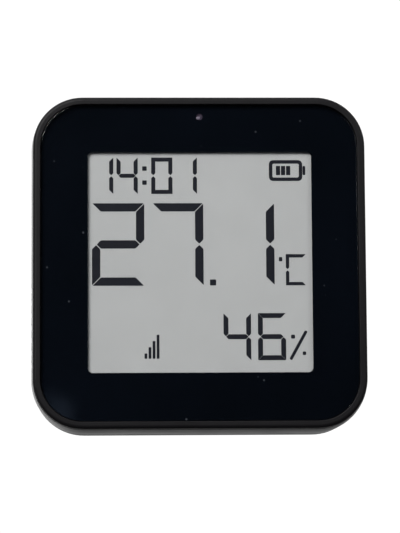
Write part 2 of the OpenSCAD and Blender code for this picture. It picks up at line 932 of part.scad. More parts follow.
// Light on the front of the board, facing the pipe
module status_led() {
    color([0.95, 0.93, 0.8])
        face_frame()
            translate([window_x, led_y, 0]) {
                slab(board_front - standoff_h / 2, board_front)
                    square([1.6, 0.8], center = true);
                slab(board_front - standoff_h, board_front - standoff_h / 2)
                    square([1, 0.8], center = true);
            }
}

// Clear rod from the light to the print
module light_pipe() {
    color([0.6, 0.55, 0.65, 0.7])
        face_frame()
            slab(mask_back + seat_gap, board_front - standoff_h - 2 * seat_gap)
                translate([window_x, led_y])
                    circle(pipe_r);
}

// Sheet sleeve of the power socket
module usb_shell() {
    color([0.7, 0.7, 0.72])
        face_frame()
            along_x(usb_mouth - usb_len, usb_mouth)
                translate([usb_y, -port_d])
                    difference() {
                        pill(usb_w, usb_h);
                        pill(usb_w - 2 * usb_sheet, usb_h - 2 * usb_sheet);
                    }
}

// Moulded base and contact tongue inside the sleeve
module usb_tongue() {
    inside = usb_sheet + seat_gap;
    color([0.06, 0.06, 0.07])
        face_frame()
            translate([usb_mouth - usb_len, 0, 0]) {
                along_x(0, usb_base)
                    translate([usb_y, -port_d])
                        pill(usb_w - 2 * inside, usb_h - 2 * inside);
                along_x(0, usb_len - usb_tongue_in)
                    translate([usb_y, -port_d])
                        square([usb_tongue_w, usb_tongue_t], center = true);
            }
}

// Body of the side-push switch, with the plunger's well
module side_switch() {
    color([0.1, 0.1, 0.1])
        face_frame()
            difference() {
                along_x(switch_front - switch_len, switch_front)
                    translate([button_y - switch_w / 2, -board_back - usb_h])
                        square([switch_w, usb_h]);
                along_x(switch_front - switch_well, switch_front + cut)
                    translate([button_y, -port_d])
                        square([plunger_w + 4 * seat_gap, plunger_t + 4 * seat_gap], center = true);
            }
}

// Stem of the switch, which moves with the button
module switch_plunger() {
    color([0.75, 0.72, 0.65])
        face_frame()
            along_x(switch_front - switch_well + button_travel + 4 * seat_gap, plunger_tip)
                translate([button_y, -port_d])
                    square([plunger_w, plunger_t], center = true);
}

// Button in the wall, with a flange that keeps it in and a stem that meets the switch
module setup_button() {
    face_x = body_w / 2 - button_recess;
    color([0.15, 0.15, 0.16])
        face_frame() {
            along_x(button_flange_x, face_x)
                translate([button_y, -port_d])
                    pill(button_len, button_w);
            along_x(button_flange_x, button_flange_x + button_flange)
                translate([button_y, -port_d])
                    square([button_len + 2 * button_flange_w, button_w], center = true);
            along_x(plunger_tip + seat_gap, button_flange_x + button_flange)
                translate([button_y, -port_d])
                    circle(plunger_t / 2);
        }
}

// Chips on the back of the board: middle across, middle up, width, height and thickness
chips = [
    [11, 19, 3, 3, 0.9],
    [17, 19, 4, 4, 2],
    [11, 13, 3.2, 1.6, 1.6],
    [17, 13, 3.2, 1.6, 1.6],
    [8, -9, 5, 5, 0.9],
    [-4, -9, 5, 4, 1.6],
    [-14, -9, 3.2, 1.6, 1.6]
];

module board_chips() {
    color([0.1, 0.1, 0.11])
        face_frame()
            for (c = chips)
                translate([c[0], c[1], 0])
                    slab(board_back, board_back + c[4])
                        square([c[2], c[3]], center = true);
}

module board_screws() {
    color([0.6, 0.6, 0.62])
        face_frame()
            at_standoffs()
                pan_screw(board_back, board_screw_r, board_back - film_back - 4 * seat_gap);
}

module tray_screws() {
    color([0.6, 0.6, 0.62])
        face_frame()
            at_bosses()
                pan_screw(tray_back, tray_screw_r, tray_back - ledge_back - 1);
}

// Edges across the front of the sheet contacts at the top and at the bottom
top_spans = [[-outer_x, -outer_x], [-inner_x, inner_x], [outer_x, outer_x]];
low_spans = [[-outer_x, -inner_x], [inner_x, outer_x]];

// Cradle for the cells: a floor, side walls with scoops, end walls with posts, and ribs
module battery_tray() {
    color([0.2, 0.2, 0.21])
        face_frame()
            difference() {
                union() {
                    slab(tray_front, tray_back)
                        rounded_rect(body_w - 2 * tray_in, body_h - 2 * wall - 2 * boss_gap, corner_r - tray_in);
                    for (side = [0, 1])
                        mirror([side, 0, 0])
                            tray_side_wall();
                    tray_end_wall(top_spans);
                    mirror([0, 1, 0])
                        tray_end_wall(low_spans);
                    for (side = [-1, 1])
                        slab(tray_front, tray_back + rib_h)
                            translate([side * rib_x, 0])
                                square([rib_t, 2 * side_wall_y], center = true);
                }
                at_bosses()
                    slab(tray_front - cut, tray_back + cut)
                        circle(tray_screw_r + through_gap);
                for (side = [-1, 1])
                    slab(tray_front - cut, tray_back + cut)
                        translate([side * tab_x, contact_y + contact_t / 2])
                            square([tab_w + 4 * post_gap, contact_t + 4 * post_gap], center = true);
            }
}

module tray_side_wall() {
    edge = outer_x + cell_r + cell_side_gap;
    top = tray_back + tray_side_h;
    difference() {
        along_x(edge, edge + tray_side)
            translate([-side_wall_y, -top])
                square([2 * side_wall_y, top - tray_front]);
        along_x(edge - cut, edge + tray_side + cut)
            translate([0, -top - scoop_r + scoop_t])
                circle(scoop_r);
    }
}

module tray_end_wall(spans) {
    half = outer_x + contact_w / 2 + post_gap + post_w;
    post_deep = contact_t + 2 * seat_gap;
    top = tray_back + tray_end_h;
    along_y(tray_wall_y, tray_wall_y + tray_end)
        translate([-half, -top])
            square([2 * half, top - tray_front]);
    for (span = spans)
        for (side = [-1, 1])
            along_y(tray_wall_y - post_deep, tray_wall_y + tray_end / 2)
                translate([(side < 0 ? span[0] : span[1]) + side * (contact_w / 2 + post_gap + post_w / 2), 0])
                    translate([-post_w / 2, -top])
                        square([post_w, top - tray_front]);
}

// One cell: rounded can with its nub up, standing on its flat end
module cell_body() {
    can_len = cell_len - nub_h;
    foot_round = 0.6;
    neck_round = 0.9;
    nub_round = 0.3;
    rotate_extrude()
        difference() {
            union() {
                square([cell_r, can_len]);
                square([nub_r, cell_len]);
            }
            translate([cell_r, 0])
                mirror([0, 1, 0])
                    corner_cut(foot_round);
            translate([cell_r, can_len])
                intersection() {
                    corner_cut(neck_round);
                    translate([-neck_round, -neck_round])
                        square(neck_round + nub_round);
                }
            translate([nub_r, cell_len])
                corner_cut(nub_round);
        }
}

// Cells stand nub up and nub down by turns
module cell(i) {
    up = i % 2 == 0;
    color([0.25, 0.25, 0.27])
        face_frame()
            translate([columns[i], (up ? -1 : 1) * (contact_y - spring_room), -cell_axis])
                rotate([up ? -90 : 90, 0, 0])
                    cell_body();
}

// Sheet contact between two columns, with a dimple towards a nub
module contact_sheet(left, right, nub_x) {
    sphere_r = (dimple_r * dimple_r + dimple_h * dimple_h) / (2 * dimple_h);
    along_y(contact_y, contact_y + contact_t)
        translate([0, -cell_axis]) {
            for (x = [left, right])
                translate([x, 0])
                    rounded_rect(contact_w, contact_h, contact_r);
            if (right > left)
                translate([left, -contact_h / 4])
                    square([right - left, contact_h / 2]);
        }
    for (x = nub_x)
        translate([x, contact_y + contact_t / 2, -cell_axis])
            rotate([90, 0, 0])
                intersection() {
                    cylinder(r = dimple_r, h = contact_t / 2 + dimple_h);
                    translate([0, 0, contact_t / 2 + dimple_h - sphere_r])
                        sphere(sphere_r);
                }
}

// Tab from a contact through the tray to the board
module contact_tab(side) {
    along_y(contact_y, contact_y + contact_t)
        translate([side * tab_x - tab_w / 2, -cell_axis])
            square([tab_w, cell_axis - board_back - seat_gap]);
}

module contact_positive() {
    color([0.8, 0.78, 0.72])
        face_frame() {
            contact_sheet(-outer_x, -outer_x, [-outer_x]);
            contact_tab(-1);
        }
}

module contact_negative() {
    color([0.8, 0.78, 0.72])
        face_frame() {
            contact_sheet(outer_x, outer_x, []);
            contact_tab(1);
        }
}

module link_top() {
    color([0.8, 0.78, 0.72])
        face_frame()
            contact_sheet(-inner_x, inner_x, [inner_x]);
}

module link_left() {
    color([0.8, 0.78, 0.72])
        face_frame()
            mirror([0, 1, 0])
                contact_sheet(-outer_x, -inner_x, [-inner_x]);
}

module link_right() {
    color([0.8, 0.78, 0.72])
        face_frame()
            mirror([0, 1, 0])
                contact_sheet(inner_x, outer_x, [outer_x]);
}

// Conical spring of round wire, one unbroken tube from its base to its tip
module spring() {
    last = spring_steps * wire_sides;
    points = [for (i = [0 : spring_steps]) each wire_ring(i)];
    sides = [
        for (i = [0 : spring_steps - 1], k = [0 : wire_sides - 1])
            let (a = i * wire_sides + k, b = i * wire_sides + (k + 1) % wire_sides)
                each [[a, b, a + wire_sides], [b, b + wire_sides, a + wire_sides]]
    ];
    start = [for (k = [1 : wire_sides - 2]) [0, k + 1, k]];
    end = [for (k = [1 : wire_sides - 2]) [last, last + k, last + k + 1]];
    polyhedron(points, concat(sides, start, end));
}

module contact_springs() {
    color([0.78, 0.78, 0.8])
        face_frame()
            for (i = [0 : 3])
                let (up = i % 2 == 0)
                    translate([columns[i], (up ? -1 : 1) * (contact_y - touch_gap), -cell_axis])
                        rotate([up ? -90 : 90, 0, 0])
                            spring();
}

// Rear shell: rounded rear edge, lip, snap tongues, keyholes, pry notch and a stiffening rib
module back_cover() {
    color([0.17, 0.17, 0.18])
        face_frame()
            difference() {
                union() {
                    sweep_body()
                        cover_profile();
                    slab(cover_inside, body_d)
                        body_outline(rear_round + cover_t);
                    at_tongues()
                        snap_tongue();
                    slab(cover_inside - stiff_h, cover_inside + cover_t / 2)
                        square([stiff_t, 2 * side_wall_y], center = true);
                }
                for (side = [-1, 1])
                    translate([side * rib_x, key_y, 0])
                        slab(cover_inside - cut, body_d + cut) {
                            circle(key_r);
                            translate([-key_slot_r, 0])
                                square([2 * key_slot_r, key_len]);
                            translate([0, key_len])
                                circle(key_slot_r);
                        }
                slab(cover_front - cut, cover_front + notch_t)
                    translate([-notch_w / 2, body_h / 2 - notch_t])
                        square([notch_w, notch_t + cut]);
            }
}

// Section of the cover's wall: rim, rounded rear edge and the lip that goes into the housing
module cover_profile() {
    inner_round = max(rear_round - wall, rim_round);
    lip_front = cover_front - lip_len;
    lip_back = cover_front + 2 * lip_t;
    difference() {
        polygon([
            [0, -cover_front],
            [0, -cover_front - cover_straight],
            [-cover_draft, -body_d + rear_round],
            [-cover_draft, -body_d],
            [-rear_round - 2 * cover_t, -body_d],
            [-rear_round - 2 * cover_t, -cover_front]
        ]);
        translate([-cover_draft, -body_d])
            mirror([0, 1, 0])
                corner_cut(rear_round);
        translate([0, -cover_front])
            corner_cut(rim_round);
        difference() {
            translate([-rear_round - 2 * cover_t - cut, -cover_inside])
                square([rear_round + 2 * cover_t + cut - wall, cover_inside]);
            translate([-wall, -cover_inside])
                mirror([0, 1, 0])
                    corner_cut(inner_round);
        }
    }
    translate([-lip_in - lip_t, -lip_back])
        square([lip_t, lip_back - lip_front]);
    translate([-lip_in, -lip_back])
        square([lip_in - wall / 2, lip_back - cover_front - rim_round]);
}

// Tongue beyond the lip, with a bead that springs into the housing's groove
module snap_tongue() {
    tip = cover_front - lip_len - tongue_len;
    outer = body_h / 2 - lip_in;
    slab(tip, cover_front)
        translate([-tongue_w / 2, outer - lip_t])
            square([tongue_w, lip_t]);
    along_x(-tongue_w / 2, tongue_w / 2)
        polygon([
            [outer - lip_t / 2, -tip],
            [outer, -tip],
            [outer + bead_h, -tip - bead_w / 2],
            [outer, -tip - bead_w],
            [outer - lip_t / 2, -tip - bead_w]
        ]);
}

housing();
front_bezel();
front_lens();
lens_mask();
lens_tape();
display_film();
display_backplane();
display_carrier();
display_flex();
flex_connector();
main_board();
radio_module();
radio_shield();
humidity_sensor();
status_led();
light_pipe();
usb_shell();
usb_tongue();
side_switch();
switch_plunger();
setup_button();
board_chips();
board_screws();
battery_tray();
tray_screws();
for (i = [0 : 3])
    cell(i);
contact_positive();
contact_negative();
link_top();
link_left();
link_right();
contact_springs();
back_cover();
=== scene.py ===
"""Looks of a square temperature and humidity sensor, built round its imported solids."""

import json
import math

import bmesh
import bpy
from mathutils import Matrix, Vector

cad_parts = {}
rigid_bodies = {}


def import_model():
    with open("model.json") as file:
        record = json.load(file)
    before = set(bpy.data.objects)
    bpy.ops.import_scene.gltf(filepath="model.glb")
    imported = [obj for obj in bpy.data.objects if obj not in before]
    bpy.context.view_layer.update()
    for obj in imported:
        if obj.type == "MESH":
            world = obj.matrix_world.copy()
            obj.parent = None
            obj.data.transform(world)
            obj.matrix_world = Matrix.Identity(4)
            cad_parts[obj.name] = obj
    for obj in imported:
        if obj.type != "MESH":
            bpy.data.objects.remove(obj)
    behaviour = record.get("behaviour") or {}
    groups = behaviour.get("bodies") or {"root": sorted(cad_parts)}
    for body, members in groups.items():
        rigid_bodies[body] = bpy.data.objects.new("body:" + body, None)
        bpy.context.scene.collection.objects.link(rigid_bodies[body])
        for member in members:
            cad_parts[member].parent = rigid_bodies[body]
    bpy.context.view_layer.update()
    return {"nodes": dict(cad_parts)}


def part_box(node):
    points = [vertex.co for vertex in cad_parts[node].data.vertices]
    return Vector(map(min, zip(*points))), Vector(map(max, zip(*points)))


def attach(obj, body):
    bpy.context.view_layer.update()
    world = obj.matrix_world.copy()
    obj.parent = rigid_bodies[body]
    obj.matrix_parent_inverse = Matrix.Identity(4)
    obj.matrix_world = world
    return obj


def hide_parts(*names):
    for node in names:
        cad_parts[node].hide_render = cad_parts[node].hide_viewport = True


# Empty scene, then the fixed frame
for leftover in list(bpy.data.objects):
    bpy.data.objects.remove(leftover, do_unlink=True)
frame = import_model()
nodes = frame["nodes"]

MM = 0.001

# Camera, in metres and degrees: below and left of the front, looking up at it
CAMERA_AT = (-0.01669, -0.50947, -0.02302)
CAMERA_TURN = (96.543, 0.363, -1.886)
CAMERA_LENS = 163.5
CAMERA_SENSOR = 36.0

# Floor, in metres
FLOOR_Z = -0.3
FLOOR_HALF = 6.0

# Soft lights: name, place and size in metres, and power in watts, all turned to the part's middle
LIGHT_AIM = (0.0, 0.0, 0.035)
SOFTBOXES = (
    ("key", (-0.62, -1.05, 0.78), (0.8, 0.8), 21.4),
    ("fill", (0.9, -0.8, 0.55), (0.8, 0.8), 4.0),
    ("top", (0.1, 0.25, 1.2), (0.8, 0.6), 1.6),
    ("back", (0.5, 1.3, 0.7), (1.0, 0.8), 10.0),
)

# Studio round the part: what the camera sees behind it, and what lights it and is mirrored
SEEN_WHITE = 1.05
FRONT_DARK = (0.006, 0.01, 0.018, 1.0)
SIDE_DIM = (0.04, 0.04, 0.042, 1.0)
BACKDROP = (1.05, 1.05, 1.05, 1.0)
BACKDROP_LEFT = (2.0, 2.0, 2.0, 1.0)

# Direction, colour and reach of a dim glow in front, which the glass mirrors at its lower left
GLOW_WAY = (-0.0265, -0.998, 0.0535)
GLOW_COLOUR = (0.14, 0.19, 0.28, 1.0)
GLOW_REACH = (0.003, 0.0105)


# Node helpers


def linear(red, green, blue):
    """Linear colour of an sRGB colour from 0 to 255."""
    def one(value):
        share = value / 255
        if share <= 0.04045:
            return share / 12.92
        return ((share + 0.055) / 1.055) ** 2.4
    return (one(red), one(green), one(blue), 1.0)


def shaded(colour, share):
    """Colour made darker or paler by a factor."""
    return tuple(c * share for c in colour[:3]) + (1.0,)


def new_material(name):
    mat = bpy.data.materials.new(name)
    mat.use_nodes = True
    tree = mat.node_tree
    return mat, tree, tree.nodes["Principled BSDF"]


def coords(tree):
    return tree.nodes.new("ShaderNodeTexCoord").outputs["Object"]


def noise(tree, scale, detail, roughness):
    tex = tree.nodes.new("ShaderNodeTexNoise")
    tex.inputs["Scale"].default_value = scale
    tex.inputs["Detail"].default_value = detail
    tex.inputs["Roughness"].default_value = roughness
    tree.links.new(coords(tree), tex.inputs["Vector"])
    return tex.outputs["Fac"]


def scattered(tree, scale):
    tex = tree.nodes.new("ShaderNodeTexVoronoi")
    tex.inputs["Scale"].default_value = scale
    tree.links.new(coords(tree), tex.inputs["Vector"])
    return tex


def remap(tree, value, low, high, start=0.3, end=0.7, smooth=False):
    node = tree.nodes.new("ShaderNodeMapRange")
    if smooth:
        node.interpolation_type = "SMOOTHSTEP"
    tree.links.new(value, node.inputs["Value"])
    for socket, number in (("From Min", start), ("From Max", end), ("To Min", low), ("To Max", high)):
        node.inputs[socket].default_value = number
    return node.outputs["Result"]


def blend_colours(tree, share, first, second):
    node = tree.nodes.new("ShaderNodeMix")
    node.data_type = "RGBA"
    tree.links.new(share, node.inputs["Factor"])
    for socket, colour in (("A", first), ("B", second)):
        target = [s for s in node.inputs if s.name == socket and s.type == "RGBA"][0]
        if hasattr(colour, "is_linked"):
            tree.links.new(colour, target)
        else:
            target.default_value = colour
    return [s for s in node.outputs if s.type == "RGBA"][0]


def calc(tree, operation, first, second):
    node = tree.nodes.new("ShaderNodeMath")
    node.operation = operation
    for socket, value in zip(node.inputs, (first, second)):
        if hasattr(value, "is_linked"):
            tree.links.new(value, socket)
        else:
            socket.default_value = value
    return node.outputs["Value"]


def weighed(tree, first, second, share):
    """Sum of a share of the first value and the rest of the second."""
    part = calc(tree, "MULTIPLY", first, share)
    rest = calc(tree, "MULTIPLY", second, 1 - share)
    return calc(tree, "ADD", part, rest)


def add_bump(tree, shader, height, distance):
    node = tree.nodes.new("ShaderNodeBump")
    node.inputs["Distance"].default_value = distance
    tree.links.new(height, node.inputs["Height"])
    tree.links.new(node.outputs["Normal"], shader.inputs["Normal"])


# Materials

# Scales of the patterns, per metre
FLOW_MARKS = 90.0
CAPSULE_GRAIN = 5200.0

# What the lens mirrors: face on, and what is added at a grazing view
LENS_FACE_ON = 0.035
LENS_GRAZING = 0.96


def moulded(name, colour, rough, grain=5200.0, relief=3e-6, spread=0.16, specular=0.5):
    """Spark-eroded moulded plastic: fine grain, faint flow marks and uneven gloss."""
    mat, tree, shader = new_material(name)
    flow = noise(tree, FLOW_MARKS, 3.0, 0.6)
    pits = noise(tree, grain, 2.0, 0.55)
    share = remap(tree, weighed(tree, flow, pits, 0.5), 0.0, 1.0)
    tone = blend_colours(tree, share, shaded(colour, 1 - spread), shaded(colour, 1 + spread))
    tree.links.new(tone, shader.inputs["Base Color"])
    uneven = weighed(tree, flow, pits, 0.6)
    tree.links.new(remap(tree, uneven, rough - 0.06, rough + 0.06), shader.inputs["Roughness"])
    shader.inputs["Specular IOR Level"].default_value = specular
    add_bump(tree, shader, pits, relief)
    return mat


def metal(name, colour, rough, grain=1500.0, relief=1.5e-6):
    """Plated or rolled metal with fine scratches."""
    mat, tree, shader = new_material(name)
    stain = noise(tree, 260.0, 4.0, 0.6)
    fine = noise(tree, grain, 4.0, 0.7)
    tone = blend_colours(tree, remap(tree, stain, 0.0, 1.0), shaded(colour, 0.82), colour)
    tree.links.new(tone, shader.inputs["Base Color"])
    tree.links.new(remap(tree, fine, rough - 0.08, rough + 0.08), shader.inputs["Roughness"])
    shader.inputs["Metallic"].default_value = 1.0
    add_bump(tree, shader, fine, relief)
    return mat


def clear_lens():
    """Clear front panel: it lets everything through but what its faces mirror."""
    mat, tree, shader = new_material("lens_clear")
    tree.nodes.remove(shader)
    out = tree.nodes["Material Output"]
    slant = tree.nodes.new("ShaderNodeLayerWeight").outputs["Facing"]
    grazing = calc(tree, "MULTIPLY", calc(tree, "POWER", slant, 5.0), LENS_GRAZING)
    mirrored = calc(tree, "ADD", grazing, LENS_FACE_ON)
    through = tree.nodes.new("ShaderNodeBsdfTransparent")
    gloss = tree.nodes.new("ShaderNodeBsdfGlossy")
    smear = noise(tree, 120.0, 4.0, 0.6)
    tree.links.new(remap(tree, smear, 0.02, 0.07), gloss.inputs["Roughness"])
    mix = tree.nodes.new("ShaderNodeMixShader")
    tree.links.new(mirrored, mix.inputs["Fac"])
    tree.links.new(through.outputs["BSDF"], mix.inputs[1])
    tree.links.new(gloss.outputs["BSDF"], mix.inputs[2])
    tree.links.new(mix.outputs["Shader"], out.inputs["Surface"])
    return mat


def black_print():
    """Navy black print under the lens, with a few specks."""
    mat, tree, shader = new_material("lens_print")
    speck = scattered(tree, 420.0)
    dot = remap(tree, speck.outputs["Distance"], 1.0, 0.0, 0.06, 0.13)
    keep = remap(tree, speck.outputs["Color"], 0.0, 1.0, 0.8, 0.82)
    cloud = noise(tree, 40.0, 2.0, 0.5)
    tone = blend_colours(tree, remap(tree, cloud, 0.0, 1.0), linear(7, 11, 18), linear(4, 7, 12))
    specked = blend_colours(tree, calc(tree, "MULTIPLY", dot, keep), tone, linear(70, 74, 80))
    tree.links.new(specked, shader.inputs["Base Color"])
    tree.links.new(remap(tree, cloud, 0.45, 0.6), shader.inputs["Roughness"])
    shader.inputs["Specular IOR Level"].default_value = 0.01
    return mat


def paper():
    """Grey e-paper with the grain of its ink capsules."""
    mat, tree, shader = new_material("e_paper")
    capsules = noise(tree, CAPSULE_GRAIN, 2.0, 0.6)
    cloud = noise(tree, 140.0, 2.0, 0.5)
    share = remap(tree, weighed(tree, capsules, cloud, 0.6), 0.0, 1.0)
    tone = blend_colours(tree, share, (0.52, 0.53, 0.526, 1.0), (0.58, 0.59, 0.586, 1.0))
    tree.links.new(tone, shader.inputs["Base Color"])
    tree.links.new(remap(tree, capsules, 0.55, 0.75), shader.inputs["Roughness"])
    shader.inputs["Specular IOR Level"].default_value = 0.2
    add_bump(tree, shader, capsules, 1e-6)
    return mat


def ink():
    """Dark state of the e-paper."""
    mat, tree, shader = new_material("e_paper_ink")
    capsules = noise(tree, CAPSULE_GRAIN, 2.0, 0.6)
    share = remap(tree, capsules, 0.0, 1.0)
    tone = blend_colours(tree, share, linear(17, 19, 27), linear(25, 27, 37))
    tree.links.new(tone, shader.inputs["Base Color"])
    tree.links.new(remap(tree, capsules, 0.5, 0.7), shader.inputs["Roughness"])
    shader.inputs["Specular IOR Level"].default_value = 0.2
    return mat


def film(name, colour, band):
    """Satin shrink film with fine wrinkles, paler near the nub."""
    mat, tree, shader = new_material(name)
    place = tree.nodes.new("ShaderNodeSeparateXYZ")
    tree.links.new(coords(tree), place.inputs["Vector"])
    start, end = band
    share = remap(tree, place.outputs["Z"], 0.0, 1.0, start * MM, end * MM)
    wrinkle = noise(tree, 420.0, 3.0, 0.6)
    worn = blend_colours(tree, remap(tree, wrinkle, 0.0, 1.0), colour, shaded(colour, 1.25))
    tone = blend_colours(tree, share, worn, linear(150, 152, 156))
    tree.links.new(tone, shader.inputs["Base Color"])
    tree.links.new(remap(tree, wrinkle, 0.22, 0.38), shader.inputs["Roughness"])
    add_bump(tree, shader, wrinkle, 1e-5)
    return mat


def give(mat, *names):
    for name in names:
        data = nodes[name].data
        data.materials.clear()
        data.materials.append(mat)


give(moulded("shell_plastic", linear(30, 30, 31), 0.42), "housing", "back_cover")
give(moulded("bezel_plastic", linear(23, 22, 24), 0.48, specular=0.19), "front_bezel")
give(moulded("button_plastic", linear(38, 38, 39), 0.42), "setup_button")
give(moulded("tray_plastic", linear(44, 44, 46), 0.55, grain=3800.0), "battery_tray")
give(moulded("carrier_plastic", linear(206, 205, 200), 0.5), "display_carrier")
give(moulded("socket_plastic", linear(222, 214, 196), 0.45), "flex_connector", "switch_plunger")
give(moulded("chip_plastic", linear(34, 34, 36), 0.45, grain=9000.0), "board_chips", "humidity_sensor")
give(moulded("module_board", linear(24, 25, 28), 0.4), "radio_module")
give(moulded("port_plastic", linear(22, 22, 24), 0.4), "usb_tongue", "side_switch")
give(moulded("tape_foam", linear(30, 30, 32), 0.8, grain=2600.0, relief=1e-5), "lens_tape")
give(moulded("board_resist", linear(20, 74, 44), 0.35, grain=2400.0), "main_board")
give(moulded("ribbon_film", linear(186, 112, 40), 0.3), "display_flex")
give(moulded("backplane_glass", linear(120, 132, 134), 0.2), "display_backplane")
give(moulded("light_resin", linear(236, 228, 190), 0.3), "status_led")
give(moulded("pipe_resin", linear(58, 48, 62), 0.25), "light_pipe")
give(metal("plated_steel", (0.62, 0.6, 0.56, 1.0), 0.28),
     "contact_positive", "contact_negative", "link_top", "link_left", "link_right", "contact_springs")
give(metal("port_steel", (0.6, 0.6, 0.62, 1.0), 0.25), "usb_shell", "radio_shield")
give(metal("screw_steel", (0.5, 0.5, 0.52, 1.0), 0.35), "board_screws", "tray_screws")
give(metal("can_steel", (0.66, 0.66, 0.67, 1.0), 0.3), "cell_1", "cell_2", "cell_3", "cell_4")
give(clear_lens(), "front_lens")
give(black_print(), "lens_mask")
give(paper(), "display_film")

# Thin air gap between the lens and the print behind it, which share a plane
AIR_GAP = 0.02
air_gap = nodes["front_lens"].modifiers.new("air_gap", "DISPLACE")
air_gap.mid_level = 0.0
air_gap.strength = -AIR_GAP * MM


# Mesh helpers


def finish_piece(bm, name, mat, body):
    bmesh.ops.recalc_face_normals(bm, faces=bm.faces[:])
    mesh = bpy.data.meshes.new(name)
    bm.to_mesh(mesh)
    bm.free()
    obj = bpy.data.objects.new(name, mesh)
    bpy.context.scene.collection.objects.link(obj)
    mesh.materials.append(mat)
    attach(obj, body)
    return obj


def join_rings(bm, first, second):
    """Band of faces between two closed rings of corners."""
    count = len(first)
    for i in range(count):
        j = (i + 1) % count
        bm.faces.new((first[i], first[j], second[j], second[i]))


def ring_at(bm, outline, depth):
    """Ring of corners from an outline in mm across and up, at a depth in mm."""
    return [bm.verts.new((x * MM, depth * MM, z * MM)) for x, z in outline]


def add_prism(bm, outline, near, far):
    """Flat prism over an outline, between two depths."""
    first = ring_at(bm, outline, near)
    second = ring_at(bm, outline, far)
    bm.faces.new(first)
    bm.faces.new(second)
    join_rings(bm, first, second)


def box_corners(columns, rows):
    left, right = columns
    low, high = rows
    return [(left, low), (right, low), (right, high), (left, high)]


def rounded(points, radius, steps=3):
    """Outline with its corners rounded."""
    out = []
    count = len(points)
    for i, point in enumerate(points):
        here = Vector(point)
        back = Vector(points[i - 1]) - here
        ahead = Vector(points[(i + 1) % count]) - here
        reach = min(radius, 0.45 * back.length, 0.45 * ahead.length)
        start = here + back.normalized() * reach
        end = here + ahead.normalized() * reach
        for k in range(steps + 1):
            t = k / steps
            out.append((1 - t) ** 2 * start + 2 * t * (1 - t) * here + t * t * end)
    return out


# Display marks: columns and rows in mm across and up on the film

FILM_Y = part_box("display_film")[0].y / MM
INK_FRONT = FILM_Y - 0.015
INK_BACK = FILM_Y + 0.005

# Lit segments of each sign, lettered clockwise from the top, with g in the middle
SEGMENTS = {"0": "abcdef", "1": "bc", "2": "abged", "4": "fgbc", "6": "afgedc", "7": "abc", "C": "afed"}

# Pens: stroke, gap at a mitre, gap at half height and corner radius
TIME_PEN = (0.86, 0.0, 0.1, 0.08)
LARGE_PEN = (1.73, 0.1, 0.12, 0.22)
SMALL_PEN = (1.02, 0.02, 0.1, 0.12)
UNIT_PEN = (0.71, 0.0, 0.12, 0.12)
DOT_RADIUS = 0.15

TIME_RIGHTS = (("1", -17.84), ("4", -12.76), ("0", -5.54), ("1", -0.43))
TIME_WIDTH = 4.42
TIME_ROWS = (49.38, 57.04)
COLON_COLUMNS = (-11.83, -10.89)
COLON_LOWS = (51.3, 54.25)
COLON_HEIGHT = 0.94

LARGE_SIGNS = (("2", (-22.3, -11.43)), ("7", (-9.75, 0.83)), ("1", (4.85, 15.57)))
LARGE_ROWS = (30.2, 47.43)
POINT = ((2.13, 3.42), (30.22, 31.46))

DEGREE = ((16.48, 17.19), (35.22, 36.1))
UNIT = ((17.91, 22.07), (30.19, 36.71))

SMALL_SIGNS = (("4", (4.87, 10.58)), ("6", (12.0, 17.8)))
SMALL_ROWS = (14.65, 24.42)
PERCENT_ENDS = ((18.87, 15.03), (21.87, 20.43))
PERCENT_HALF = 0.32
PERCENT_ROUND = 0.3
PERCENT_DOTS = (((18.83, 19.68), (19.1, 19.93)), ((21.22, 21.95), (15.68, 16.44)))

BATTERY_OUTER = ((14.57, 21.54), (52.06, 56.46))
BATTERY_INNER = ((15.31, 20.82), (52.8, 55.71))
BATTERY_ROUND = (1.0, 0.35)
BATTERY_NUB = ((21.6, 22.18), (53.3, 55.23))
CHARGE_LEFTS = (16.05, 17.1, 18.16)
CHARGE_WIDTH = 0.88
CHARGE_ROWS = (53.3, 55.24)
CHARGE_ROUND = 0.08

SMOOTH_STEPS = 6
PERCENT_STEPS = 5
SMALL_ROUND = 0.25

SIGNAL_COUNT = 4
SIGNAL_LEFT = -11.49
SIGNAL_PITCH = 0.84
SIGNAL_WIDTH = 0.58
SIGNAL_ROWS = (15.04, 16.14)
SIGNAL_STEP = 1.29
SIGNAL_ROUND = 0.12


def ink_outline(bm, outline):
    add_prism(bm, outline, INK_FRONT, INK_BACK)


def ink_ring(bm, outer, inner):
    sides = ((outer, INK_FRONT), (inner, INK_FRONT), (inner, INK_BACK), (outer, INK_BACK))
    rings = [ring_at(bm, outline, depth) for outline, depth in sides]
    for n, ring in enumerate(rings):
        join_rings(bm, ring, rings[(n + 1) % len(rings)])


def seven_segments(bm, sign, columns, rows, pen):
    """Lit segments of one sign: mitred at the corners, with the uprights split at half height."""
    left, right = columns
    low, high = rows
    stroke, mitre, split, radius = pen
    mid = (low + high) / 2
    half = stroke / 2
    for segment in SEGMENTS[sign]:
        if segment in "ad":
            edge, inner = (high, high - stroke) if segment == "a" else (low, low + stroke)
            shape = [(left + mitre, edge), (right - mitre, edge),
                     (right - stroke - mitre, inner), (left + stroke + mitre, inner)]
        elif segment == "g":
            shape = [(left + half + mitre, mid), (left + stroke + mitre, mid + half),
                     (right - stroke - mitre, mid + half), (right - half - mitre, mid),
                     (right - stroke - mitre, mid - half), (left + stroke + mitre, mid - half)]
        else:
            outer, inner = (right, right - stroke) if segment in "bc" else (left, left + stroke)
            edge, way = (high, 1) if segment in "bf" else (low, -1)
            shape = [(outer, edge - way * mitre), (outer, mid + way * (half + split)),
                     ((outer + inner) / 2, mid + way * split), (inner, mid + way * (half + split)),
                     (inner, edge - way * (stroke + mitre))]
        ink_outline(bm, rounded(shape, radius))


def block(bm, columns, rows, radius):
    ink_outline(bm, rounded(box_corners(columns, rows), radius))


